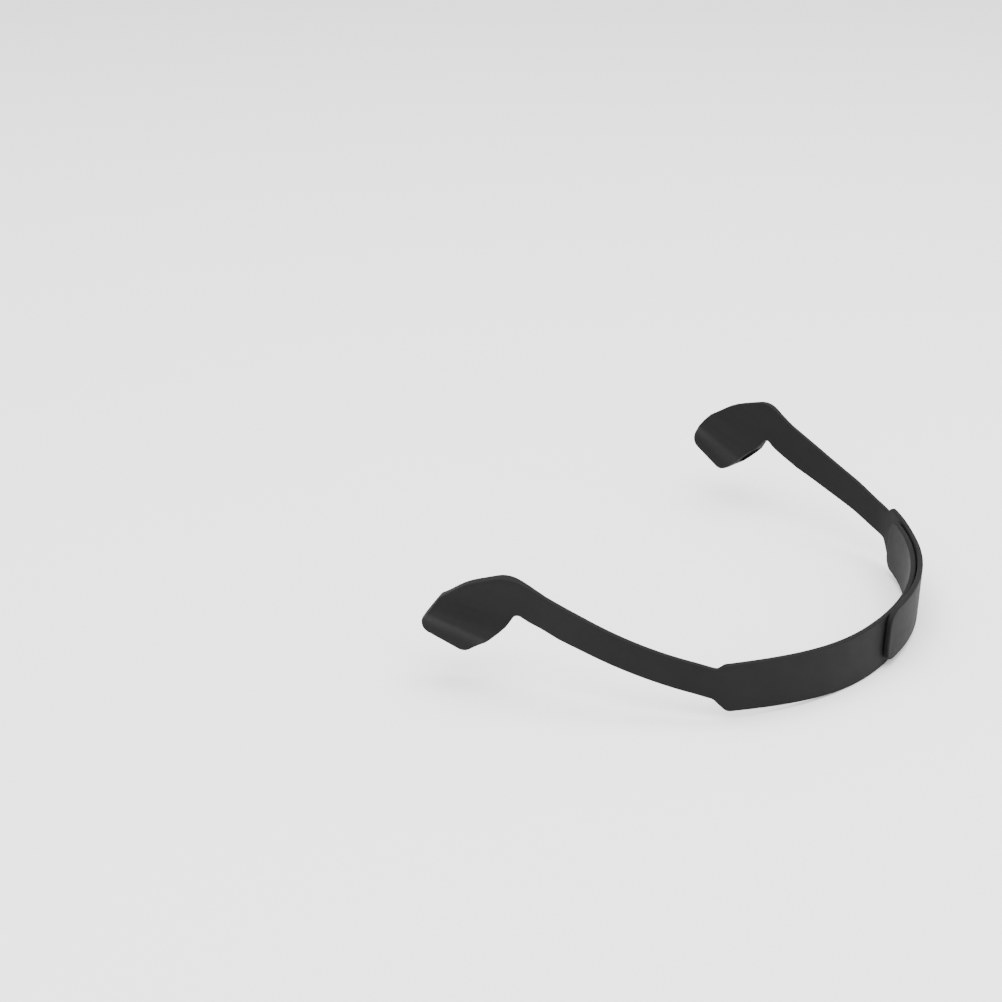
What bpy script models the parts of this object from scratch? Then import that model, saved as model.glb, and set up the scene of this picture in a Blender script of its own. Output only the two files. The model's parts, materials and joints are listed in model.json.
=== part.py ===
"""An adjustable silicone strap for eyeglasses, in the shape it takes on a pair of glasses.

Two moulded halves reach from the back of the head to the glasses' temple arms. Each half is an ear
hook with a tunnel for the temple's tip, a narrow strip and a wide tab. The tabs lap at the back,
where a hook-and-loop fastener lets their overlap be set. A soft moulding bends anywhere, so each
half is cut into hook, strip and tab at the two places where it bends most.

Frame: +X to the wearer's left, +Y backwards, +Z up. The origin lies on the middle plane, level with
the middles of the two temple tunnels.

Every piece is first laid out flat: x runs along the strap from the middle of its back, y is the
height above the band's lower edge, and z points outwards, away from the head. It is then wrapped
on to the strap's route.
"""

import math

import bmesh
import bpy
from mathutils import Matrix, Vector

MM = 0.001
DEG = math.pi / 180

# The strap's route in plan, as the middle of the moulding's thickness
BAND_RADIUS = 57.3 * MM  # of the inner tab, round the back of the head
BAND_AXIS_Y = 12.55 * MM  # how far the band's vertical axis lies behind the origin
BAND_ANGLES = {1: 46.3 * DEG, -1: 50 * DEG}  # the band's arc on the left side and on the right
STEP_BEND = 4 * MM  # the short, tight bend where the thick lap ends
SLIDES = {1: 0, -1: -1.1 * MM}  # how far each half is pushed along the route
STRIP_HEADINGS = {1: (65 * DEG, 84.5 * DEG), -1: (68 * DEG, 82 * DEG)}  # at its two ends
HOOK_HEADING = 79 * DEG
HOOK_START = 88 * MM  # where the route runs straight through the ear hook
BAND_LEAN = 2 * DEG  # the strap's upper edge leans away from the head
HOOK_LEAN = 9.4 * DEG
LEAN_GROWS = (55 * MM, 85 * MM)
BAND_BASE_Z = -13.6 * MM  # height of the flat layout's zero

# The moulding's sizes
BAND_WIDTH = 12.2 * MM
SHEET = 1.2 * MM  # thickness of tab and strip
STRIP_TOP = (10.2 * MM, 0.187, 4.5)  # height of each edge at STRIP_DATUM, its slope, and its rise per m2
STRIP_BOTTOM = (3.2 * MM, 0.193, 2.9)
STRIP_DATUM = 51 * MM
LEFT_STEP_WIDTH = 10.9 * MM  # the left tab narrows to this before its step
WIDEST_AT = 8 * MM  # where the left tab has its full width
SETTLE = {
    1: ((-46, -0.6), (-5, -2.1), (12, -2.35), (46, -0.85), (54, -0.45)),
    -1: ((36, -0.8), (54, 0.4), (66, 1.4)),
}  # on each side, positions along the strap and how high it lies there, in millimetres
HOOK_PITCHES = {1: -0.10, -1: -0.05}  # slope added to the left hook and to the right one
HOOK_PITCH_START = 76 * MM
HOOK_PITCH_EASE = 8 * MM
LEFT_STEP = 48 * MM  # where each tab narrows to its strip
RIGHT_STEP = 52.3 * MM
STEP_RAMP = 3.0 * MM
INNER_TAB_END = -46 * MM  # the left tab's free end, on the right side of the head
OUTER_TAB_END = -3.6 * MM  # the right tab's free end, just over the middle

# The fastener between the tabs
LAP_PITCH = 1.55 * MM  # from the middle of the inner tab's thickness to the outer tab's
PATCH_LENGTH = 36 * MM
PATCH_WIDTH = 7.2 * MM
PATCH_THICKNESS = 0.5 * MM
PATCH_MIDDLE = 20 * MM  # along the strap, to the right of the back's middle
POCKET_FLOOR = 0.1 * MM  # from the middle of the tab's thickness
POCKET_MARGIN = 0.3 * MM
PATCH_PROUD = 0.1 * MM

# Bending lines
LEFT_STRIP_BEND = 54 * MM
RIGHT_STRIP_BEND = 56.5 * MM
HOOK_BEND = 86 * MM
BEND_GAP = 0.3 * MM  # between the two pieces, on the bending line
BEND_RIDGE = 0.42 * MM  # each end rises to a ridge, so that the two clear each other when they bend

# The ear hook
HOOK_THICKNESS = 2.4 * MM
HOOK_FRONT = 120 * MM  # in front of all of the hook
HOOK_FULL_AT = 96 * MM  # from the bending line to here the hook grows from the strip's thickness
TUNNEL_FRONT = (109.4 * MM, 17.2 * MM)  # middle of each mouth: along, height
TUNNEL_BACK = (96.2 * MM, 12.1 * MM)
TUNNEL_FRONT_HEIGHT = 3.8 * MM
TUNNEL_BACK_HEIGHT = 5.2 * MM
TUNNEL_THICKNESS = 3.2 * MM
TUNNEL_ROUND = 0.9 * MM
TUNNEL_WALL = 0.9 * MM
SLEEVE_ROUND = 1.9 * MM

STATION = 2 * MM  # spacing of the cuts that let a flat piece follow the route
ARC_STEP = 15 * DEG  # turn of an outline between two points of a round corner

SILICONE = ((0.022, 0.022, 0.023, 1), 0.62)
LOOP_TAPE = ((0.014, 0.014, 0.015, 1), 0.95)
HOOK_TAPE = ((0.030, 0.030, 0.031, 1), 0.55)


def smooth_step(t):
    """Eases from 0 to 1 as t does."""
    t = min(max(t, 0), 1)
    return t * t * (3 - 2 * t)


def edge_height(edge, along):
    """Height of one of the strip's edges."""
    start, slope, rise = edge
    d = along - STRIP_DATUM
    return start + slope * d + rise * d * d


def edge_slope(edge, along):
    return edge[1] + 2 * edge[2] * (along - STRIP_DATUM)


def strip_middle(along):
    """Height of the strip's middle line and its pitch."""
    height = (edge_height(STRIP_TOP, along) + edge_height(STRIP_BOTTOM, along)) / 2
    pitch = math.atan((edge_slope(STRIP_TOP, along) + edge_slope(STRIP_BOTTOM, along)) / 2)
    return height, pitch


def lean_height(along):
    """The height that the lean turns about: the band's middle, then the strip's, then the hook's."""
    if along >= HOOK_BEND:
        return strip_middle(HOOK_BEND)[0]
    grown = min(max((along - LEFT_STEP) / (2 * STEP_RAMP), 0), 1)
    middle = strip_middle(max(along, STRIP_DATUM))[0]
    return (1 - grown) * BAND_WIDTH / 2 + grown * middle


def lean(along):
    """How far the strap leans at a position along it."""
    start, end = LEAN_GROWS
    grown = min(max((along - start) / (end - start), 0), 1)
    return BAND_LEAN + (HOOK_LEAN - BAND_LEAN) * grown


def settle(along, side):
    """How far the worn strap lies above its flat layout: the two laps don't quite line up."""
    past = max(along - HOOK_PITCH_START, 0)
    rise = HOOK_PITCHES[side] * past * past / (past + HOOK_PITCH_EASE)
    knots = SETTLE[side]
    rise += knots[0][1] * MM
    for (start, low), (end, high) in zip(knots, knots[1:]):
        rise += (high - low) * MM * smooth_step((along / MM - start) / (end - start))
    return rise


def route(along, side, radius):
    """Plan position and heading, as if on the left. Positions before the middle are across it."""
    angle = BAND_ANGLES[side]
    strip_start, strip_end = STRIP_HEADINGS[side]
    arc = radius * angle
    bends = (
        (arc, 0, angle),
        (STEP_BEND, angle, strip_start),
        (HOOK_START - arc - STEP_BEND, strip_start, strip_end),
    )
    x, y, left = 0, BAND_AXIS_Y + radius, along
    for length, start, end in bends:
        run = min(left, length)
        turn = (end - start) / length
        heading = start + turn * run
        x += (math.sin(heading) - math.sin(start)) / turn
        y += (math.cos(heading) - math.cos(start)) / turn
        left -= run
        if left <= 0:
            return x, y, heading
    return x + left * math.cos(HOOK_HEADING), y - left * math.sin(HOOK_HEADING), HOOK_HEADING


def place(flat, side, radius):
    """A point of the flat layout, on the route. side is 1 on the left half and -1 on the right."""
    along, height, out = flat
    x, y, heading = route(along + SLIDES[side], side, radius)
    tilt = lean(along)
    rise = settle(along, side)
    sideways = out * math.cos(tilt) + (height - lean_height(along)) * math.tan(tilt)
    x += math.sin(heading) * sideways
    y += math.cos(heading) * sideways
    return Vector((side * x, y, BAND_BASE_Z + height + rise - out * math.sin(tilt)))


def bend_corner(edge, along, way):
    """Where an end at a bending line meets one of the strip's edges. way is 1 for a piece after it."""
    height, pitch = strip_middle(along)
    along += way * BEND_GAP / 2 * math.cos(pitch)
    height += way * BEND_GAP / 2 * math.sin(pitch)
    up = 0
    for _ in range(8):
        up = (edge_height(edge, along - up * math.sin(pitch)) - height) / math.cos(pitch)
    return along - up * math.sin(pitch), height + up * math.cos(pitch)


def rounded(corners):
    """An outline from corners (along, height, radius), each replaced by an arc of its radius."""
    points = []
    for i, (x, y, radius) in enumerate(corners):
        here = Vector((x, y))
        back = (Vector(corners[i - 1][:2]) - here).normalized()
        ahead = (Vector(corners[(i + 1) % len(corners)][:2]) - here).normalized()
        if radius == 0:
            points.append(here)
            continue
        half = back.angle(ahead) / 2
        turn = math.pi - 2 * half
        middle = here + (back + ahead).normalized() * (radius / math.sin(half))
        start = here + back * (radius / math.tan(half)) - middle
        sense = 1 if back.x * ahead.y - back.y * ahead.x < 0 else -1
        steps = max(2, math.ceil(turn / ARC_STEP))
        for k in range(steps + 1):
            spin = Matrix.Rotation(sense * turn * k / steps, 2)
            points.append(middle + spin @ start)
    return points


def material(name, look):
    """A Principled material with a colour and a roughness."""
    colour, roughness = look
    made = bpy.data.materials.new(name)
    made.use_nodes = True
    shader = made.node_tree.nodes["Principled BSDF"]
    shader.inputs["Base Color"].default_value = colour
    shader.inputs["Roughness"].default_value = roughness
    shader.inputs["Metallic"].default_value = 0
    return made


def add_object(name, data):
    obj = bpy.data.objects.new(name, data)
    bpy.context.scene.collection.objects.link(obj)
    return obj


def flattened(obj):
    """The object as one plain mesh object, with its modifiers or its curve worked out."""
    graph = bpy.context.evaluated_depsgraph_get()
    mesh = bpy.data.meshes.new_from_object(obj.evaluated_get(graph))
    name = obj.name
    bpy.data.objects.remove(obj)
    bm = bmesh.new()
    bm.from_mesh(mesh)
    bmesh.ops.remove_doubles(bm, verts=bm.verts, dist=1e-7)
    bmesh.ops.recalc_face_normals(bm, faces=bm.faces)
    bm.to_mesh(mesh)
    bm.free()
    return add_object(name, mesh)


def plate(name, points, low, high):
    """A flat outline, filled and given thickness from low to high in the layout's z."""
    curve = bpy.data.curves.new(name, "CURVE")
    curve.dimensions = "2D"
    curve.fill_mode = "BOTH"
    curve.extrude = (high - low) / 2
    spline = curve.splines.new("POLY")
    spline.points.add(len(points) - 1)
    for slot, (x, y) in zip(spline.points, points):
        slot.co = (x, y, 0, 1)
    spline.use_cyclic_u = True
    obj = flattened(add_object(name, curve))
    obj.data.transform(Matrix.Translation((0, 0, (low + high) / 2)))
    return obj


def tapered_box(name, start, end, start_height, end_height, thickness, rounding):
    """A bar from start to end, whose height changes on the way, with its long edges rounded."""
    start, end = Vector(start), Vector(end)
    run = end - start
    bm = bmesh.new()
    bmesh.ops.create_cube(bm, size=1)
    for v in bm.verts:
        height = start_height if v.co.x < 0 else end_height
        v.co = Vector((v.co.x * run.length, v.co.y * height, v.co.z * thickness))
    along = [e for e in bm.edges if abs(e.verts[0].co.x - e.verts[1].co.x) > run.length / 2]
    bmesh.ops.bevel(bm, geom=along, offset=rounding, segments=4, profile=0.5, affect="EDGES")
    middle = (start + end) / 2
    turn = Matrix.Rotation(math.atan2(run.y, run.x), 4, "Z")
    bmesh.ops.transform(bm, matrix=Matrix.Translation((*middle, 0)) @ turn, verts=bm.verts)
    bmesh.ops.recalc_face_normals(bm, faces=bm.faces)
    mesh = bpy.data.meshes.new(name)
    bm.to_mesh(mesh)
    bm.free()
    return add_object(name, mesh)


def combine(obj, other, operation):
    """A Boolean of two mesh objects, worked out. The second object is used up."""
    boolean = obj.modifiers.new(operation.title(), "BOOLEAN")
    boolean.operation = operation
    boolean.object = other
    boolean.solver = "EXACT"
    result = flattened(obj)
    bpy.data.objects.remove(other)
    return result


def slice_across(bm, point, normal):
    """Adds edges where a plane crosses the mesh."""
    everything = bm.verts[:] + bm.edges[:] + bm.faces[:]
    bmesh.ops.bisect_plane(bm, geom=everything, dist=1e-7, plane_co=point, plane_no=normal)


def slice_stations(bm, start, end):
    """Slices the mesh across at every station between two positions along the strap."""
    first, last = math.ceil(start / STATION), math.floor(end / STATION)
    for k in range(first, last + 1):
        slice_across(bm, Vector(((k + 0.37) * STATION, 0, 0)), Vector((1, 0, 0)))
    bmesh.ops.triangulate(bm, faces=bm.faces)


def ridge_ends(obj, bends):
    """Shapes the ends at bending lines to ridges. Each is its position and which way the piece lies."""
    bm = bmesh.new()
    bm.from_mesh(obj.data)
    slice_across(bm, Vector((0, 0, 0)), Vector((0, 0, 1)))
    for along, way in bends:
        height, pitch = strip_middle(along)
        inwards = Vector((math.cos(pitch), math.sin(pitch), 0)) * way
        for v in bm.verts:
            depth = (v.co - Vector((along, height, 0))).dot(inwards)
            if depth < BEND_GAP and abs(v.co.z) > 0.01 * MM:
                v.co += inwards * BEND_RIDGE
    bmesh.ops.triangulate(bm, faces=bm.faces)
    bm.to_mesh(obj.data)
    bm.free()


def taper_hook(obj):
    """Makes the hook's plate grow from the strip's thickness to its own."""
    bm = bmesh.new()
    bm.from_mesh(obj.data)
    slice_stations(bm, HOOK_BEND, HOOK_FULL_AT)
    thin = SHEET / HOOK_THICKNESS
    for v in bm.verts:
        grown = smooth_step((v.co.x - HOOK_BEND) / (HOOK_FULL_AT - HOOK_BEND))
        v.co.z *= thin + (1 - thin) * grown
    bm.to_mesh(obj.data)
    bm.free()


def wrap(obj, side, radius):
    """Takes a flat piece on to the route."""
    bm = bmesh.new()
    bm.from_mesh(obj.data)
    reach = [v.co.x for v in bm.verts]
    slice_stations(bm, min(reach), min(max(reach), HOOK_START))
    for v in bm.verts:
        v.co = place(v.co, side, radius)
    if side > 0:
        bmesh.ops.reverse_faces(bm, faces=bm.faces)
    bm.to_mesh(obj.data)
    bm.free()


def finish(obj, look, collection):
    """Gives a piece its material and puts it in the strap's collection."""
    obj.data.materials.clear()
    obj.data.materials.append(look)
    bpy.context.scene.collection.objects.unlink(obj)
    collection.objects.link(obj)
    return obj


def patch_outline(middle, margin):
    """The outline of a fastener patch, or of its pocket, at the band's middle height."""
    half = PATCH_LENGTH / 2 + margin
    low = BAND_WIDTH / 2 - PATCH_WIDTH / 2 - margin
    high = BAND_WIDTH / 2 + PATCH_WIDTH / 2 + margin
    rounding = 1 * MM + margin
    ends = (
        (middle - half, low, rounding),
        (middle + half, low, rounding),
        (middle + half, high, rounding),
        (middle - half, high, rounding),
    )
    return rounded(ends)


def tab_top(end, step, width):
    """The upper edge of a tab, which may narrow to its step, from the step back to the free end."""
    corners = [(step - STEP_RAMP / 4, width, 1 * MM)]
    if width < BAND_WIDTH:
        corners.append((WIDEST_AT, BAND_WIDTH, 90 * MM))
    return [*corners, (end, BAND_WIDTH, 4 * MM)]


def make_tab(name, end, step, width, bend, face, patch_middle):
    """A wide tab from its free end to the bending line past its step, with the patch's pocket.

    face is 1 where the pocket is in the outer face and -1 where it is in the inner face."""
    ramp = STEP_RAMP / 2
    corners = (
        (end, 0, 3 * MM),
        (step - ramp, 0, 2 * MM),
        (step + ramp, edge_height(STRIP_BOTTOM, step + ramp), 1.5 * MM),
        (*bend_corner(STRIP_BOTTOM, bend, -1), 0),
        (*bend_corner(STRIP_TOP, bend, -1), 0),
        (step + ramp / 2, edge_height(STRIP_TOP, step + ramp / 2), 1 * MM),
        *tab_top(end, step, width),
    )
    tab = plate(name, rounded(corners), -SHEET / 2, SHEET / 2)
    ridge_ends(tab, ((bend, -1),))
    pocket_outline = patch_outline(patch_middle, POCKET_MARGIN)
    low, high = sorted((face * POCKET_FLOOR, face * SHEET))
    return combine(tab, plate("pocket", pocket_outline, low, high), "DIFFERENCE")


def make_patch(name, middle, face):
    """A fastener patch, whose face stands a little proud of the tab."""
    top = SHEET / 2 + PATCH_PROUD
    low, high = sorted((face * top, face * (top - PATCH_THICKNESS)))
    return plate(name, patch_outline(middle, 0), low, high)


def make_strip(name, start):
    """The narrow strip between two bending lines, its edges following their curves."""
    outline = []
    for edge, ends in ((STRIP_BOTTOM, (start, HOOK_BEND)), (STRIP_TOP, (HOOK_BEND, start))):
        first, last = (bend_corner(edge, bend, 1 if bend == start else -1)[0] for bend in ends)
        count = math.ceil(abs(last - first) / STATION)
        places = [first + (last - first) * k / count for k in range(count + 1)]
        outline += [(x, edge_height(edge, x)) for x in places]
    strip = plate(name, outline, -SHEET / 2, SHEET / 2)
    ridge_ends(strip, ((start, 1), (HOOK_BEND, -1)))
    return strip


def hook_outline():
    """The ear hook's side: the arch over the temple, the front, the lobe, the rear mouth, the slot."""
    before = HOOK_BEND - 3 * MM
    corners = (
        (before, edge_height(STRIP_BOTTOM, before), 0),
        (88.6 * MM, 15.1 * MM, 4.0 * MM),
        (91.4 * MM, 17.2 * MM, 1.15 * MM),
        (93.6 * MM, 14.1 * MM, 0.4 * MM),
        (98.4 * MM, 9.8 * MM, 0),
        (103.6 * MM, 6.6 * MM, 2.3 * MM),
        (114.3 * MM, 12.5 * MM, 2.7 * MM),
        (108.5 * MM, 19.9 * MM, 0.8 * MM),
        (102.3 * MM, 23.7 * MM, 16.0 * MM),
        (92.6 * MM, 26.3 * MM, 7.0 * MM),
        (before, edge_height(STRIP_TOP, before), 0),
    )
    return rounded(corners)


def make_ear_hook(name):
    """The flat hook, the sleeve round the temple's tip and the tunnel through it."""
    height, pitch = strip_middle(HOOK_BEND)
    middle = Vector((HOOK_BEND, height)) + Vector((math.cos(pitch), math.sin(pitch))) * BEND_GAP / 2
    across = Vector((-math.sin(pitch), math.cos(pitch))) * 14 * MM
    low, high = middle - across, middle + across
    slab = (low, Vector((HOOK_FRONT, low.y)), Vector((HOOK_FRONT, high.y)), high)
    hook = plate(name, slab, -HOOK_THICKNESS / 2, HOOK_THICKNESS / 2)
    ridge_ends(hook, ((HOOK_BEND, 1),))
    taper_hook(hook)
    front, back = Vector(TUNNEL_FRONT), Vector(TUNNEL_BACK)
    run = (front - back).normalized()
    growth = (TUNNEL_FRONT_HEIGHT - TUNNEL_BACK_HEIGHT) / (front - back).length
    beyond = 6 * MM
    start_height = TUNNEL_BACK_HEIGHT - growth * beyond
    end_height = TUNNEL_FRONT_HEIGHT + growth * beyond
    start, end = back - run * beyond, front + run * beyond
    walls = 2 * TUNNEL_WALL
    sleeve = tapered_box(
        "sleeve", start, end, start_height + walls, end_height + walls,
        TUNNEL_THICKNESS + walls, SLEEVE_ROUND,
    )
    hook = combine(hook, sleeve, "UNION")
    tunnel = tapered_box(
        "tunnel", start, end, start_height, end_height, TUNNEL_THICKNESS, TUNNEL_ROUND
    )
    hook = combine(hook, tunnel, "DIFFERENCE")
    return combine(hook, plate("hook_side", hook_outline(), -5 * MM, 5 * MM), "INTERSECT")


def build_half(
    side_name, side, radius, end, step, width, bend, face, patch_middle, patch_name, looks
):
    """One half of the strap and its fastener patch."""
    silicone, tape, strap = looks
    tab = make_tab(f"{side_name}_tab", end, step, width, bend, face, patch_middle)
    wrap(tab, side, radius)
    patch = make_patch(patch_name, patch_middle, face)
    wrap(patch, side, radius)
    strip = make_strip(f"{side_name}_strip", bend)
    wrap(strip, side, radius)
    hook = make_ear_hook(f"{side_name}_ear_hook")
    wrap(hook, side, radius)
    for piece in (tab, strip, hook):
        finish(piece, silicone, strap)
    finish(patch, tape, strap)


def main():
    for obj in list(bpy.data.objects):
        bpy.data.objects.remove(obj, do_unlink=True)
    strap = bpy.data.collections.new("eyeglasses_strap")
    bpy.context.scene.collection.children.link(strap)
    silicone = material("silicone", SILICONE)
    build_half(
        "left", 1, BAND_RADIUS, INNER_TAB_END, LEFT_STEP, LEFT_STEP_WIDTH, LEFT_STRIP_BEND, 1,
        -PATCH_MIDDLE, "fastener_loop_patch", (silicone, material("loop_tape", LOOP_TAPE), strap),
    )
    build_half(
        "right", -1, BAND_RADIUS + LAP_PITCH, OUTER_TAB_END, RIGHT_STEP, BAND_WIDTH,
        RIGHT_STRIP_BEND, -1,
        PATCH_MIDDLE, "fastener_hook_patch", (silicone, material("hook_tape", HOOK_TAPE), strap),
    )


main()
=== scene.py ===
"""Looks for the silicone eyeglasses strap.

Each moulded half is drawn flat as one outline with rounded edges, given the hook's thickness and
its sleeve, hollowed, and then wrapped on to the strap's route. In the flat layout x runs along the
strap from the middle of the back, y is the height above the band's lower edge, and z is outwards.
Each half is made as two pieces that meet in the middle of the strip, because each piece may bend
over one joint only.
"""

import json
import math
import random

import bmesh
import bpy
from mathutils import Matrix, Vector


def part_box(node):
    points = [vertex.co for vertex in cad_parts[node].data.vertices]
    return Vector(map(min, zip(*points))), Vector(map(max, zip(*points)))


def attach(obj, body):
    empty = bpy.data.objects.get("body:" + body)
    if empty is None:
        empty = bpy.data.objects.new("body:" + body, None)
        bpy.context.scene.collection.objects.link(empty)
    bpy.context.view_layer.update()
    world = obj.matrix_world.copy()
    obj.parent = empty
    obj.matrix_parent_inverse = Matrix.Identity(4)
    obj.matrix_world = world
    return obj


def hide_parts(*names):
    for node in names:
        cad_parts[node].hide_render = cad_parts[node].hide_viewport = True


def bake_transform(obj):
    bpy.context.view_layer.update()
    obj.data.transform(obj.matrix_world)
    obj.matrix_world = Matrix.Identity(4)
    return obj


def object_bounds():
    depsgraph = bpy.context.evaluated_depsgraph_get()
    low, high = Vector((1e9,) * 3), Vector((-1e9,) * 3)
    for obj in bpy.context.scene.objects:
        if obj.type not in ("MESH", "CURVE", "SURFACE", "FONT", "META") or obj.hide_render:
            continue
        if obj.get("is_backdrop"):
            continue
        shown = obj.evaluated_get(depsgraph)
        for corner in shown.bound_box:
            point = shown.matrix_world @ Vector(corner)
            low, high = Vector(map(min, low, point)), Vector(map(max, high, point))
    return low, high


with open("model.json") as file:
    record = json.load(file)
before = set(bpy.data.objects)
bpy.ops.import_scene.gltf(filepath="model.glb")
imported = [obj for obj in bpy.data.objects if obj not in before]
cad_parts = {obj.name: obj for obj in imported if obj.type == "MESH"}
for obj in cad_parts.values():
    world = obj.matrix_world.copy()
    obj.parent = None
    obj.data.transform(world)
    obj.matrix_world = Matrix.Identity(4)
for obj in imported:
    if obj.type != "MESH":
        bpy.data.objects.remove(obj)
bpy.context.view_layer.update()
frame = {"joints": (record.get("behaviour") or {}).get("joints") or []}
joints = {joint["name"]: joint for joint in frame["joints"]}

MM = 0.001
DEG = math.pi / 180

# Where a value differs between the halves, 1 is the left half and -1 the right half

# The moulding's section, as in the CAD
SHEET = 1.2 * MM
BAND_WIDTH = 12.2 * MM
HOOK_THICKNESS = 2.4 * MM
EDGE = 0.34 * MM  # radius of the moulding's edges

# Places along the strap, from the middle of the back
INNER_TAB_END = -46 * MM  # the left tab runs on past the middle
OUTER_TAB_END = -3.6 * MM
LEFT_STEP = 48 * MM  # middle of the shoulder between the tab and the strip
RIGHT_STEP = 52.3 * MM
STEP_RAMP = 3.0 * MM  # length of the shoulder
LEFT_STRIP_BEND = 54 * MM
RIGHT_STRIP_BEND = 56.5 * MM
HOOK_BEND = 86 * MM
HOOK_START = 88 * MM  # the hook is straight from here on
HOOK_FULL_AT = 96 * MM  # and has its full thickness from here on
WIDEST_AT = 8 * MM  # the left tab narrows from here to its shoulder
LEFT_STEP_WIDTH = 10.9 * MM  # and is this wide there

# The strip's edges: their height at the datum, their slope there, and how fast they curve up
STRIP_TOP = (10.2 * MM, 0.187, 4.5)
STRIP_BOTTOM = (3.2 * MM, 0.193, 2.9)
STRIP_DATUM = 51 * MM
STRIP_SLOPE = 0.3  # roughly, of the strip's middle line at its bends

# The route round the head
LAP_PITCH = 1.55 * MM  # the right tab lies this far outside the left tab
BAND_ANGLES = {1: 46.3 * DEG, -1: 50 * DEG}  # how far the band's arc turns
STEP_BEND = 4 * MM  # length of the tighter bend from the band to the strip
STRIP_HEADINGS = {1: (65 * DEG, 84.5 * DEG), -1: (68 * DEG, 82 * DEG)}  # at the strip's two ends
HOOK_HEADING = 79 * DEG
SLIDES = {1: 0, -1: -1.1 * MM}  # how far each half is slid along its route

# How the worn strap leans outwards and settles
BAND_LEAN = 2 * DEG
HOOK_LEAN = 9.4 * DEG
LEAN_GROWS = (55 * MM, 85 * MM)  # where the lean grows from the band's to the hook's
SETTLE = {  # (place along the strap, height above the flat layout), in millimetres
    1: ((-46, -0.6), (-5, -2.1), (12, -2.35), (46, -0.85), (54, -0.45)),
    -1: ((36, -0.8), (54, 0.4), (66, 1.4)),
}
HOOK_PITCHES = {1: -0.10, -1: -0.05}  # slope at which the hook dips
HOOK_PITCH_START = 76 * MM
HOOK_PITCH_EASE = 8 * MM

# The tunnel: middle of each mouth, along and up, and its half height there
TUNNEL_FRONT = Vector((109.4, 17.2)) * MM
TUNNEL_BACK = Vector((96.2, 12.1)) * MM
TUNNEL_FRONT_HALF = 1.9 * MM
TUNNEL_BACK_HALF = 2.6 * MM
TUNNEL_HALF_WIDTH = 1.6 * MM
TUNNEL_WALL = 0.85 * MM
TUNNEL_SIDES = 40
TUNNEL_STATIONS = (-0.6, -0.25, -0.1, 0.0, 0.12, 0.3, 0.5, 0.7, 0.88, 0.97, 1.06, 1.2, 1.6)
TUNNEL_POWER = 0.62  # under 1, it makes the oval section squarer
LIP_FLARE = 0.10  # how much wider the tunnel is at the rear mouth's lip
LIP_PLACE = -0.05
LIP_LENGTH = 0.07
MOUTH_FLARE = 0.35  # how fast the cut widens beyond a mouth
SLEEVE_SPREAD = 1.7  # how softly the sleeve runs out into the plate
SLEEVE_CROWN = 1.1  # over 1, it flattens the sleeve's crown
SLEEVE_START = -0.55  # where the sleeve begins to swell, as a share of the tunnel
SLEEVE_GROWTH = 0.45  # and how much further on it is full

# The fastener
PATCH_LENGTH = 36 * MM
PATCH_WIDTH = 7.2 * MM
PATCH_CORNER = 1 * MM
PATCH_MIDDLE = 20 * MM  # from the middle of the back
PATCH_PROUD = 0.1 * MM  # how far a patch stands out of its pocket
PATCH_THICKNESS = 0.5 * MM
POCKET_FLOOR = 0.1 * MM  # from the middle of the sheet
POCKET_MARGIN = 0.3 * MM  # gap round a patch
LOOP_SPACING = 0.62 * MM
HOOK_SPACING = 0.85 * MM
BARE_ENDS = 2  # spacings without loops or hooks, over a patch's length
BARE_SIDES = 1.2  # and over its width
TUFT_HEIGHT = 0.2 * MM
TUFT_RADIUS = 0.05 * MM
SCATTER_SEED = 7
TUFT_SCATTER = 0.1  # how far a loop or hook stands off its row, as a share of the spacing
HOOK_SHAPE = ((0, 0), (0, 0.12), (0.05, 0.18), (0.13, 0.18), (0.18, 0.12))  # in millimetres
LOOP_SHAPE = ((-0.14, 0), (-0.13, 0.11), (0, 0.18), (0.13, 0.11), (0.14, 0))

# The meshes
STATION = 0.8 * MM  # spacing of the mesh along the strap
TAB_ROWS = (3.1 * MM, 6.1 * MM, 9.1 * MM)  # heights of the rows in the tab's mesh
HOOK_GRID = 0.5 * MM  # spacing of the mesh in the hook
HOOK_GRID_START = HOOK_BEND - 4 * MM
HOOK_GRID_END = 113.5 * MM
HOOK_GRID_ROWS = (7 * MM, 25.5 * MM)
ROW_OFFSET = 0.53  # keeps the rows off the outline's corners
SEAM_ROW = 0.2 * MM  # distance from the seam of the rows beside it
ARC_STEP = 9 * DEG  # turn from one point of an arc to the next
EDGE_STEPS = 3  # points added round a rounded edge
SHARP_ANGLE = 38 * DEG
FLAT_NORMAL = 0.999  # a face is flat in the layout if its normal's z is over this
WELD = 1e-7  # points this close are one
BEND_REACH = 5 * MM  # a bend spreads over this much of the strap on each side of its line

band_axis = Vector(joints["closure_adjust"]["pos_m"])
LEAN_REACH = SHEET / 2 * math.cos(BAND_LEAN) + BAND_WIDTH / 2 * math.tan(BAND_LEAN)
BAND_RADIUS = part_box("left_tab")[1].y - LEAN_REACH - band_axis.y

# ---------------------------------------------------------------- the route


def smooth_step(t):
    """Eases from 0 to 1 as t goes from 0 to 1."""
    t = min(max(t, 0), 1)
    return t * t * (3 - 2 * t)


def edge_height(edge, along):
    """Height of one of the strip's edges."""
    start, slope, rise = edge
    d = along - STRIP_DATUM
    return start + slope * d + rise * d * d


def strip_middle(along):
    """Height of the strip's middle line."""
    return (edge_height(STRIP_TOP, along) + edge_height(STRIP_BOTTOM, along)) / 2


def lean_height(along):
    """The height that the lean turns about: the band's middle, then the strip's, then the hook's."""
    if along >= HOOK_BEND:
        return strip_middle(HOOK_BEND)
    grown = min(max((along - LEFT_STEP) / (2 * STEP_RAMP), 0), 1)
    return (1 - grown) * BAND_WIDTH / 2 + grown * strip_middle(max(along, STRIP_DATUM))


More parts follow.
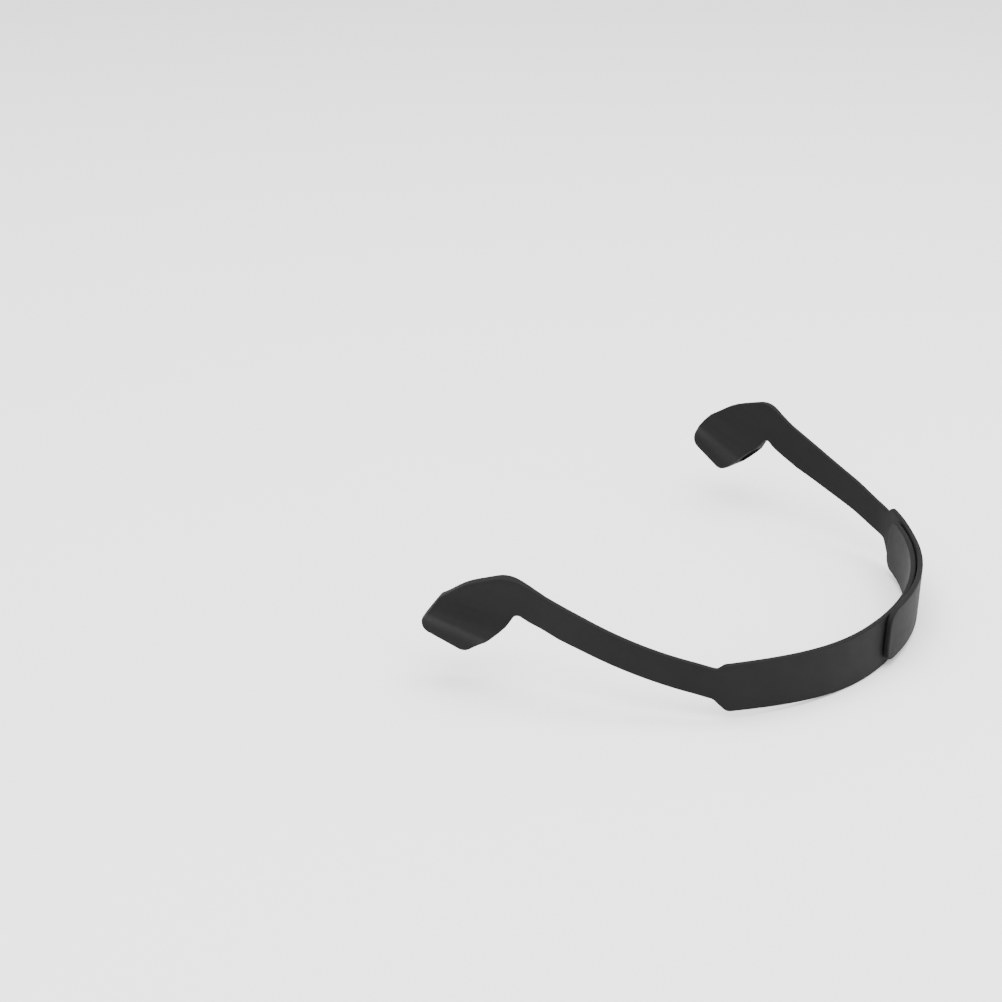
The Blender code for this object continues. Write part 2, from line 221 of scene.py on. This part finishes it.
def lean(along):
    """How far the moulding's upper edge leans outwards, as an angle."""
    start, end = LEAN_GROWS
    grown = min(max((along - start) / (end - start), 0), 1)
    return BAND_LEAN + (HOOK_LEAN - BAND_LEAN) * grown


def settle(along, side):
    """How far the worn strap lies above its flat layout: the two laps don't quite line up."""
    past = max(along - HOOK_PITCH_START, 0)
    rise = HOOK_PITCHES[side] * past * past / (past + HOOK_PITCH_EASE)
    knots = SETTLE[side]
    rise += knots[0][1] * MM
    for (start, low), (end, high) in zip(knots, knots[1:]):
        rise += (high - low) * MM * smooth_step((along / MM - start) / (end - start))
    return rise


# The height of the layout's zero, from the hinge between the left strip and its hook
BAND_BASE_Z = (
    joints["left_hook_flex"]["pos_m"][2] - strip_middle(HOOK_BEND) - settle(HOOK_BEND, 1)
)


def route(along, side, radius):
    """Plan position and heading, as if on the left. Positions before the middle are across it."""
    angle = BAND_ANGLES[side]
    strip_start, strip_end = STRIP_HEADINGS[side]
    arc = radius * angle
    bends = (
        (arc, 0, angle),
        (STEP_BEND, angle, strip_start),
        (HOOK_START - arc - STEP_BEND, strip_start, strip_end),
    )
    x, y, left = 0, band_axis.y + radius, along
    for length, start, end in bends:
        run = min(left, length)
        turn = (end - start) / length
        heading = start + turn * run
        x += (math.sin(heading) - math.sin(start)) / turn
        y += (math.cos(heading) - math.cos(start)) / turn
        left -= run
        if left <= 0:
            return x, y, heading
    return x + left * math.cos(HOOK_HEADING), y - left * math.sin(HOOK_HEADING), HOOK_HEADING


def place(flat, side, radius):
    """A point of the flat layout, on the route. side is 1 on the left half and -1 on the right."""
    along, height, out = flat
    x, y, heading = route(along + SLIDES[side], side, radius)
    tilt = lean(along)
    rise = settle(along, side)
    sideways = out * math.cos(tilt) + (height - lean_height(along)) * math.tan(tilt)
    x += math.sin(heading) * sideways
    y += math.cos(heading) * sideways
    return Vector((side * x, y, BAND_BASE_Z + height + rise - out * math.sin(tilt)))


# ---------------------------------------------------------------- outlines


def rounded(corners):
    """An outline from corners (along, height, radius), each replaced by an arc of its radius."""
    points = []
    for i, (x, y, radius) in enumerate(corners):
        here = Vector((x, y))
        if radius == 0:
            points.append(here)
            continue
        back = (Vector(corners[i - 1][:2]) - here).normalized()
        ahead = (Vector(corners[(i + 1) % len(corners)][:2]) - here).normalized()
        half = back.angle(ahead) / 2
        turn = math.pi - 2 * half
        middle = here + (back + ahead).normalized() * (radius / math.sin(half))
        start = here + back * (radius / math.tan(half)) - middle
        sense = 1 if back.x * ahead.y - back.y * ahead.x < 0 else -1
        steps = max(3, math.ceil(turn / ARC_STEP))
        for k in range(steps + 1):
            spoke = Matrix.Rotation(sense * turn * k / steps, 2) @ start
            points.append(middle + spoke)
    return points


def strip_run(edge, first, last):
    """Corners along one of the strip's curved edges."""
    count = math.ceil(abs(last - first) / (2 * MM))
    places = [first + (last - first) * k / count for k in range(count + 1)]
    return [(x, edge_height(edge, x), 0) for x in places]


def tab_top(end, step, width):
    """The upper edge of a tab, which may narrow to its step, from the step back to the free end."""
    ramp = STEP_RAMP / 2
    corners = [(step - ramp / 2, width, 1.4 * MM)]
    if width < BAND_WIDTH:
        corners.append((WIDEST_AT, BAND_WIDTH, 90 * MM))
    return [*corners, (end, BAND_WIDTH, 3.6 * MM)]


def half_outline(end, step, width):
    """The outline of a whole moulded half, from its tab's free end round the hook and back."""
    ramp = STEP_RAMP / 2
    corners = [
        (end, 0, 3.0 * MM),
        (step - ramp, 0, 2.2 * MM),
        (step + ramp, edge_height(STRIP_BOTTOM, step + ramp), 1.6 * MM),
        *strip_run(STRIP_BOTTOM, step + 2.4 * ramp, 82 * MM),
        (88.6 * MM, 15.15 * MM, 9.0 * MM),
        (91.4 * MM, 17.2 * MM, 1.15 * MM),
        (93.6 * MM, 14.1 * MM, 0.6 * MM),
        (98.4 * MM, 9.8 * MM, 2.0 * MM),
        (103.6 * MM, 6.6 * MM, 2.6 * MM),
        (114.3 * MM, 12.5 * MM, 2.7 * MM),
        (108.5 * MM, 19.9 * MM, 0.8 * MM),
        (102.3 * MM, 23.7 * MM, 16.0 * MM),
        (92.6 * MM, 26.3 * MM, 7.0 * MM),
        *strip_run(STRIP_TOP, 85 * MM, step + 1.8 * ramp),
        (step + ramp / 2, edge_height(STRIP_TOP, step + ramp / 2), 1.2 * MM),
        *tab_top(end, step, width),
    ]
    return rounded(corners)


def patch_outline(middle, margin):
    """The outline of a fastener patch, or of its pocket, at the band's middle height."""
    half = PATCH_LENGTH / 2 + margin
    low = BAND_WIDTH / 2 - PATCH_WIDTH / 2 - margin
    high = BAND_WIDTH / 2 + PATCH_WIDTH / 2 + margin
    rounding = PATCH_CORNER + margin
    corners = ((-half, low), (half, low), (half, high), (-half, high))
    return rounded([(middle + x, y, rounding) for x, y in corners])


# ---------------------------------------------------------------- meshes


def add_object(name, data):
    """A new object in the scene."""
    obj = bpy.data.objects.new(name, data)
    bpy.context.scene.collection.objects.link(obj)
    return obj


def flattened(obj):
    """The object as one plain mesh object, with its modifiers or its curve worked out."""
    graph = bpy.context.evaluated_depsgraph_get()
    mesh = bpy.data.meshes.new_from_object(obj.evaluated_get(graph))
    name = obj.name
    bpy.data.objects.remove(obj)
    bm = bmesh.new()
    bm.from_mesh(mesh)
    bmesh.ops.remove_doubles(bm, verts=bm.verts, dist=WELD)
    bmesh.ops.recalc_face_normals(bm, faces=bm.faces)
    bm.to_mesh(mesh)
    bm.free()
    return add_object(name, mesh)


def plate(name, points, low, high, edge=0):
    """A flat outline, filled and given thickness, with its edges rounded by a radius."""
    curve = bpy.data.curves.new(name, "CURVE")
    curve.dimensions = "2D"
    curve.fill_mode = "BOTH"
    curve.extrude = (high - low) / 2 - edge
    curve.bevel_depth = edge
    curve.bevel_resolution = EDGE_STEPS
    curve.offset = -edge
    spline = curve.splines.new("POLY")
    spline.points.add(len(points) - 1)
    for slot, (x, y) in zip(spline.points, points):
        slot.co = (x, y, 0, 1)
    spline.use_cyclic_u = True
    obj = flattened(add_object(name, curve))
    obj.data.transform(Matrix.Translation((0, 0, (low + high) / 2)))
    return obj


def cut(obj, cutter):
    """The object less the cutter, which is used up."""
    boolean = obj.modifiers.new("cut", "BOOLEAN")
    boolean.operation = "DIFFERENCE"
    boolean.object = cutter
    boolean.solver = "EXACT"
    result = flattened(obj)
    bpy.data.objects.remove(cutter)
    return result


def slice_at(bm, axis, positions, start=-math.inf, end=math.inf):
    """Adds edges where planes square to an axis cross the faces between start and end."""
    normal = Vector((axis == 0, axis == 1, 0))
    for position in positions:
        near = [f for f in bm.faces if min(v.co[axis] for v in f.verts) < position]
        near = [f for f in near if max(v.co[axis] for v in f.verts) > position]
        near = [f for f in near if start < f.calc_center_median().x < end]
        geometry = set(near)
        for face in near:
            geometry.update(face.edges)
            geometry.update(face.verts)
        bmesh.ops.bisect_plane(
            bm, geom=list(geometry), dist=WELD / 10, plane_co=normal * position, plane_no=normal
        )


def steps_between(first, last, spacing):
    """Evenly spaced positions between two places."""
    count = math.floor((last - first) / spacing)
    return [first + spacing * (k + ROW_OFFSET) for k in range(count)]


def grid_caps(obj, end, tab_end):
    """Divides a plate's flat faces evenly, finer in the hook, so that they can curve."""
    bm = bmesh.new()
    bm.from_mesh(obj.data)
    caps = [f for f in bm.faces if abs(f.normal.z) > FLAT_NORMAL]
    bmesh.ops.dissolve_faces(bm, faces=caps, use_verts=False)
    slice_at(bm, 0, steps_between(end, HOOK_BEND, STATION))
    slice_at(bm, 0, steps_between(HOOK_BEND, HOOK_GRID_END, HOOK_GRID))
    slice_at(bm, 1, TAB_ROWS, end=tab_end)
    slice_at(bm, 1, steps_between(*HOOK_GRID_ROWS, HOOK_GRID), start=HOOK_GRID_START)
    bm.to_mesh(obj.data)
    bm.free()


def sleeve_axis(point):
    """How far along the tunnel a point lies, from 0 at the rear mouth to 1, and how far from it."""
    run = TUNNEL_FRONT - TUNNEL_BACK
    offset = Vector(point) - TUNNEL_BACK
    t = offset.dot(run) / run.length_squared
    return t, abs(offset.x * run.y - offset.y * run.x) / run.length


def tunnel_half(t):
    """The tunnel's half height, this far along it."""
    return TUNNEL_BACK_HALF + (TUNNEL_FRONT_HALF - TUNNEL_BACK_HALF) * t


def half_thickness(x, y):
    """Half of the moulding's thickness: the sheet, the hook's plate and the sleeve's soft swelling."""
    plate_half = SHEET / 2 + (HOOK_THICKNESS - SHEET) / 2 * smooth_step(
        (x - HOOK_BEND) / (HOOK_FULL_AT - HOOK_BEND)
    )
    if x < HOOK_BEND:
        return plate_half
    t, away = sleeve_axis((x, y))
    reach = (tunnel_half(t) + TUNNEL_WALL) * SLEEVE_SPREAD
    crown = TUNNEL_HALF_WIDTH + TUNNEL_WALL - plate_half
    swell = math.cos(min(away / reach, 1) * math.pi) / 2 + 0.5
    fade = smooth_step((t - SLEEVE_START) / SLEEVE_GROWTH)
    return plate_half + crown * min(swell * SLEEVE_CROWN, 1) * fade


def join_rings(bm, rings):
    """Faces between rings of vertices, and across the first and the last."""
    sides = len(rings[0])
    for first, second in zip(rings, rings[1:]):
        for k in range(sides):
            n = (k + 1) % sides
            bm.faces.new((first[k], first[n], second[n], second[k]))
    bm.faces.new(rings[0])
    bm.faces.new(rings[-1])


def tunnel(name):
    """A tapered plug with an oval section and flared ends, to hollow the hook."""
    run = TUNNEL_FRONT - TUNNEL_BACK
    up = Vector((-run.y, run.x)).normalized()
    bm = bmesh.new()
    rings = []
    for t in TUNNEL_STATIONS:
        beyond = max(-t, t - 1, 0)
        lip = LIP_FLARE * math.exp(-((t - LIP_PLACE) / LIP_LENGTH) ** 2)
        flare = 1 + lip + MOUTH_FLARE * beyond
        middle = TUNNEL_BACK + run * t
        ring = []
        for k in range(TUNNEL_SIDES):
            a = 2 * math.pi * k / TUNNEL_SIDES
            c, s = math.cos(a), math.sin(a)
            across = math.copysign(abs(c) ** TUNNEL_POWER, c) * TUNNEL_HALF_WIDTH
            high = math.copysign(abs(s) ** TUNNEL_POWER, s) * tunnel_half(t)
            point = middle + up * high * flare
            ring.append(bm.verts.new((point.x, point.y, across * flare)))
        rings.append(ring)
    join_rings(bm, rings)
    bmesh.ops.recalc_face_normals(bm, faces=bm.faces)
    mesh = bpy.data.meshes.new(name)
    bm.to_mesh(mesh)
    bm.free()
    return add_object(name, mesh)


def mark_sharp(bm):
    """Smooths the faces, but for edges between faces that meet at a steep angle."""
    for face in bm.faces:
        face.smooth = True
    for edge in bm.edges:
        edge.smooth = edge.calc_face_angle(0) < SHARP_ANGLE


def wrapped_part(source, name, side, radius, keep):
    """The part of a flat mesh whose faces keep() accepts, wrapped on to the route."""
    bm = bmesh.new()
    bm.from_mesh(source.data)
    gone = [f for f in bm.faces if not keep(f.calc_center_median())]
    bmesh.ops.delete(bm, geom=gone, context="FACES")
    mark_sharp(bm)
    for v in bm.verts:
        v.co = place(v.co, side, radius)
    if side > 0:
        bmesh.ops.reverse_faces(bm, faces=bm.faces)
    mesh = bpy.data.meshes.new(name)
    bm.to_mesh(mesh)
    bm.free()
    return add_object(name, mesh)


# ---------------------------------------------------------------- materials


class Shader:
    """A small helper that adds and links a material's nodes."""

    def __init__(self, name):
        self.material = bpy.data.materials.new(name)
        self.material.use_nodes = True
        self.tree = self.material.node_tree
        self.surface = self.tree.nodes["Principled BSDF"]
        where = self.tree.nodes.new("ShaderNodeTexCoord")
        self.where = where.outputs["Object"]

    def link(self, source, target):
        self.tree.links.new(source, target)

    def noise(self, scale, detail=2, roughness=0.5):
        node = self.tree.nodes.new("ShaderNodeTexNoise")
        node.inputs["Scale"].default_value = scale
        node.inputs["Detail"].default_value = detail
        node.inputs["Roughness"].default_value = roughness
        self.link(self.where, node.inputs["Vector"])
        return node.outputs["Fac"]

    def cells(self, scale):
        node = self.tree.nodes.new("ShaderNodeTexVoronoi")
        node.inputs["Scale"].default_value = scale
        self.link(self.where, node.inputs["Vector"])
        return node.outputs["Distance"]

    def remap(self, source, low, high, to_low=0.0, to_high=1.0):
        node = self.tree.nodes.new("ShaderNodeMapRange")
        self.link(source, node.inputs["Value"])
        node.inputs["From Min"].default_value = low
        node.inputs["From Max"].default_value = high
        node.inputs["To Min"].default_value = to_low
        node.inputs["To Max"].default_value = to_high
        return node.outputs["Result"]

    def mix(self, factor, first, second):
        node = self.tree.nodes.new("ShaderNodeMix")
        node.data_type = "RGBA"
        self.link(factor, node.inputs["Factor"])
        for value, socket in ((first, node.inputs["A"]), (second, node.inputs["B"])):
            if isinstance(value, tuple):
                socket.default_value = (*value, 1)
            else:
                self.link(value, socket)
        return node.outputs["Result"]

    def maths(self, operation, first, second):
        node = self.tree.nodes.new("ShaderNodeMath")
        node.operation = operation
        for value, socket in zip((first, second), node.inputs):
            if isinstance(value, (int, float)):
                socket.default_value = value
            else:
                self.link(value, socket)
        return node.outputs["Value"]

    def bump(self, height, distance, strength=1.0, under=None):
        node = self.tree.nodes.new("ShaderNodeBump")
        node.inputs["Distance"].default_value = distance
        node.inputs["Strength"].default_value = strength
        self.link(height, node.inputs["Height"])
        if under:
            self.link(under, node.inputs["Normal"])
        return node.outputs["Normal"]

    def set(self, **values):
        for name, value in values.items():
            self.surface.inputs[name.replace("_", " ")].default_value = value


def silicone():
    """Matte black silicone: an eroded mould's fine grain, faint handling marks and a little dust."""
    s = Shader("silicone_skin")
    clouds = s.remap(s.noise(110, 4, 0.55), 0.35, 0.7)
    colour = s.mix(clouds, (0.0058, 0.0058, 0.0059), (0.0066, 0.0065, 0.0065))
    dust = s.remap(s.cells(900), 0.09, 0.05)
    spots = s.maths("MULTIPLY", dust, s.remap(s.noise(380, 1), 0.60, 0.68))
    colour = s.mix(s.maths("MULTIPLY", spots, 0.4), colour, (0.035, 0.035, 0.037))
    s.link(colour, s.surface.inputs["Base Color"])
    rough = s.remap(s.noise(260, 3, 0.6), 0.3, 0.7, 0.66, 0.71)
    s.link(rough, s.surface.inputs["Roughness"])
    grain = s.bump(s.noise(5200, 3, 0.65), 0.000025, 0.55)
    ripple = s.bump(s.noise(160, 2, 0.4), 0.00005, 0.20, under=grain)
    s.link(ripple, s.surface.inputs["Normal"])
    s.set(Specular_IOR_Level=0.16, IOR=1.42, Sheen_Weight=0.01, Sheen_Roughness=0.45)
    return s.material


def loop_pile():
    """The soft half of the fastener: a matted pile of fine black loops."""
    s = Shader("loop_pile")
    fibres = s.noise(3200, 6, 0.75)
    tufts = s.cells(1500)
    colour = s.mix(s.remap(fibres, 0.35, 0.7), (0.006, 0.006, 0.007), (0.030, 0.030, 0.032))
    s.link(colour, s.surface.inputs["Base Color"])
    s.link(s.remap(tufts, 0.0, 0.6, 0.75, 0.98), s.surface.inputs["Roughness"])
    tufted = s.bump(tufts, 0.00020, 0.8)
    s.link(s.bump(fibres, 0.00015, 0.9, under=tufted), s.surface.inputs["Normal"])
    s.set(Sheen_Weight=0.35, Sheen_Roughness=0.5, Specular_IOR_Level=0.2)
    return s.material


def hook_plastic():
    """The hooked half of the fastener: black nylon."""
    s = Shader("hook_plastic")
    colour = s.mix(s.noise(900, 3), (0.014, 0.014, 0.015), (0.030, 0.030, 0.031))
    s.link(colour, s.surface.inputs["Base Color"])
    s.link(s.remap(s.noise(700, 2), 0.3, 0.7, 0.34, 0.5), s.surface.inputs["Roughness"])
    s.link(s.bump(s.noise(2600, 3), 0.00003, 0.6), s.surface.inputs["Normal"])
    return s.material


def paper():
    """The pale studio sweep under the strap."""
    s = Shader("studio_floor")
    tone = s.mix(s.noise(6, 3), (0.90, 0.90, 0.90), (0.92, 0.92, 0.92))
    s.link(tone, s.surface.inputs["Base Color"])
    s.link(s.remap(s.noise(40, 2), 0.3, 0.7, 0.85, 0.95), s.surface.inputs["Roughness"])
    s.set(Specular_IOR_Level=0.1)
    return s.material


# ---------------------------------------------------------------- the strap


def bend_ends(joint, along, side, radius):
    """The two ends of a bend's soft stretch, through its joint and along the strap."""
    middle = Vector(joints[joint]["pos_m"])
    height = strip_middle(along)
    here = place((along, height, 0), side, radius)
    ahead = place((along + MM, height + STRIP_SLOPE * MM, 0), side, radius)
    direction = (ahead - here).normalized()
    return middle - direction * BEND_REACH, middle + direction * BEND_REACH


def make_half(name, side, radius, end, step, width, strip_bend, looks):
    """One moulded half, as a band piece and a hook piece."""
    half = SHEET / 2
    flat = plate(name, half_outline(end, step, width), -half, half, EDGE)
    grid_caps(flat, end, step - STATION)
    for v in flat.data.vertices:
        v.co.z *= half_thickness(v.co.x, v.co.y) / half
    # The left tab's pocket is in its outer face, and the right tab's in its inner face
    low, high = sorted((side * POCKET_FLOOR, side * SHEET))
    pocket = plate("pocket", patch_outline(-side * PATCH_MIDDLE, POCKET_MARGIN), low, high)
    flat = cut(flat, pocket)
    flat = cut(flat, tunnel("tunnel"))
    seam = (strip_bend + HOOK_BEND) / 2
    bm = bmesh.new()
    bm.from_mesh(flat.data)
    # A long face can't follow the band's curve, so the rows are cut again
    slice_at(bm, 0, steps_between(end, HOOK_BEND, STATION))
    slice_at(bm, 0, [seam - SEAM_ROW, seam, seam + SEAM_ROW])
    bm.to_mesh(flat.data)
    bm.free()
    band = wrapped_part(flat, f"{name}_band_skin", side, radius, lambda c: c.x < seam)
    hook = wrapped_part(flat, f"{name}_hook_skin", side, radius, lambda c: c.x > seam)
    bpy.data.objects.remove(flat)
    for piece in (band, hook):
        piece.data.materials.append(looks)
        normals = piece.modifiers.new("even_normals", "WEIGHTED_NORMAL")
        normals.keep_sharp = True
    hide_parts(f"{name}_tab", f"{name}_strip")
    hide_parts(f"{name}_ear_hook")
    start, finish = bend_ends(f"{name}_strip_flex", strip_bend, side, radius)
    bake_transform(band)
    start, finish = bend_ends(f"{name}_hook_flex", HOOK_BEND, side, radius)
    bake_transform(hook)


looks = silicone()
outer_radius = BAND_RADIUS + LAP_PITCH
make_half(
    "left", 1, BAND_RADIUS, INNER_TAB_END, LEFT_STEP, LEFT_STEP_WIDTH, LEFT_STRIP_BEND,
    looks,
)
make_half(
    "right", -1, outer_radius, OUTER_TAB_END, RIGHT_STEP, BAND_WIDTH, RIGHT_STRIP_BEND,
    looks,
)


def add_tuft(bm, foot, shape, turn):
    """One small loop or hook of the fastener: a thin bent tube, standing on the patch at foot."""
    across = Vector((math.cos(turn), math.sin(turn), 0))
    beside = Vector((-math.sin(turn), math.cos(turn), 0))
    up = Vector((0, 0, 1))
    points = [foot + across * (x * MM) + up * (z * MM) for x, z in shape]
    rings = []
    for k, point in enumerate(points):
        before, after = points[max(k - 1, 0)], points[min(k + 1, len(points) - 1)]
        side = (after - before).normalized().cross(beside)
        ring = []
        for j in range(4):
            a = j * math.pi / 2
            offset = beside * math.cos(a) + side * math.sin(a)
            ring.append(bm.verts.new(point + offset * TUFT_RADIUS))
        rings.append(ring)
    join_rings(bm, rings)


def make_fastener(node, side, radius, body, shape, spacing, look):
    """A fastener patch: a thin backing in the tab's pocket, covered with small loops or hooks."""
    middle = -side * PATCH_MIDDLE
    backing = PATCH_THICKNESS - TUFT_HEIGHT - TUFT_RADIUS
    base = SHEET / 2 + PATCH_PROUD - PATCH_THICKNESS
    patch = plate(f"{node}_pile", patch_outline(middle, 0), base, base + backing)
    start = middle - PATCH_LENGTH / 2
    grid_caps(patch, start, start)
    bm = bmesh.new()
    bm.from_mesh(patch.data)
    scatter = random.Random(SCATTER_SEED)
    columns = math.floor((PATCH_LENGTH - BARE_ENDS * spacing) / spacing)
    rows = math.floor((PATCH_WIDTH - BARE_SIDES * spacing) / spacing)
    for i in range(columns + 1):
        for j in range(rows + 1):
            x = middle + (i - columns / 2) * spacing
            x += scatter.uniform(-TUFT_SCATTER, TUFT_SCATTER) * spacing
            y = BAND_WIDTH / 2 + (j - rows / 2) * spacing
            y += scatter.uniform(-TUFT_SCATTER, TUFT_SCATTER) * spacing
            turn = scatter.uniform(0, math.pi) if shape is LOOP_SHAPE else (i % 2) * math.pi
            add_tuft(bm, Vector((x, y, base + backing)), shape, turn)
    for v in bm.verts:
        v.co = place((v.co.x, v.co.y, side * v.co.z), side, radius)
    bmesh.ops.recalc_face_normals(bm, faces=bm.faces)
    bm.to_mesh(patch.data)
    bm.free()
    patch.data.materials.append(look)
    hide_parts(node)
    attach(patch, body)


make_fastener(
    "fastener_loop_patch", 1, BAND_RADIUS, "back_band", LOOP_SHAPE, LOOP_SPACING, loop_pile(),
)
make_fastener(
    "fastener_hook_patch", -1, outer_radius, "right_lap", HOOK_SHAPE, HOOK_SPACING,
    hook_plastic(),
)

# ---------------------------------------------------------------- the studio

STRAP_MIDDLE = Vector((0, 30, 0)) * MM
FLOOR_GAP = 0.05 * MM
SWEEP_SIZE = 3.0  # half of the floor's width, and the depth of its flat part
SWEEP_FLAT = 1.5  # the floor is flat this far on each side of the strap
SWEEP_RADIUS = 1.8
SWEEP_STEPS = 24
WORLD_LIGHT = 1.25
CAMERA_PLACE = Vector((401.94, 223.91, 204.12)) * MM
CAMERA_AZIMUTH = -122.14 * DEG
CAMERA_ELEVATION = -23.40 * DEG
CAMERA_LENS = 79.1
CAMERA_SENSOR = 36


def sweep(z):
    """A floor that curves up into a backdrop far behind the strap."""
    bm = bmesh.new()
    rows = []
    for k in range(SWEEP_STEPS + 1):
        t = 2 * k / SWEEP_STEPS
        if t < 1:
            x, height = SWEEP_FLAT - SWEEP_SIZE * t, 0
        else:
            a = (t - 1) * math.pi / 2
            x = -SWEEP_FLAT - math.sin(a) * SWEEP_RADIUS
            height = (1 - math.cos(a)) * SWEEP_RADIUS
        rows.append([bm.verts.new((x, y, z + height)) for y in (-SWEEP_SIZE, SWEEP_SIZE)])
    for low, high in zip(rows, rows[1:]):
        bm.faces.new((low[0], low[1], high[1], high[0]))
    for face in bm.faces:
        face.smooth = True
    bmesh.ops.recalc_face_normals(bm, faces=bm.faces)
    mesh = bpy.data.meshes.new("studio_floor")
    bm.to_mesh(mesh)
    bm.free()
    floor = add_object("studio_floor", mesh)
    floor.data.materials.append(paper())
    floor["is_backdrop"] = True


def area_light(name, where, size, power):
    """A soft light that faces the strap."""
    light = bpy.data.lights.new(name, "AREA")
    light.shape = "RECTANGLE"
    light.size, light.size_y = size
    light.energy = power
    lamp = add_object(name, light)
    lamp.location = where
    lamp.rotation_euler = (STRAP_MIDDLE - Vector(where)).to_track_quat("-Z", "Y").to_euler()


sweep(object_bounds()[0].z - FLOOR_GAP)
area_light("overhead", (0.1, 0.1, 0.9), (1.2, 1.2), 26)
area_light("window", (0.1, 0.9, 0.5), (0.8, 0.6), 5)
area_light("camera_side", (0.8, 0.1, 0.5), (0.6, 0.6), 1)

world = bpy.data.worlds.new("studio")
world.use_nodes = True
background = world.node_tree.nodes["Background"]
background.inputs["Color"].default_value = (1, 1, 1, 1)
background.inputs["Strength"].default_value = WORLD_LIGHT
bpy.context.scene.world = world

# The camera looks down at the strap from the wearer's left and from behind
camera = add_object("camera", bpy.data.cameras.new("camera"))
camera.location = CAMERA_PLACE
aim = Vector((
    math.sin(CAMERA_AZIMUTH) * math.cos(CAMERA_ELEVATION),
    math.cos(CAMERA_AZIMUTH) * math.cos(CAMERA_ELEVATION),
    math.sin(CAMERA_ELEVATION),
))
camera.rotation_euler = aim.to_track_quat("-Z", "Y").to_euler()
camera.data.sensor_width = CAMERA_SENSOR
camera.data.lens = CAMERA_LENS
camera.data.clip_start = 0.01
bpy.context.scene.camera = camera
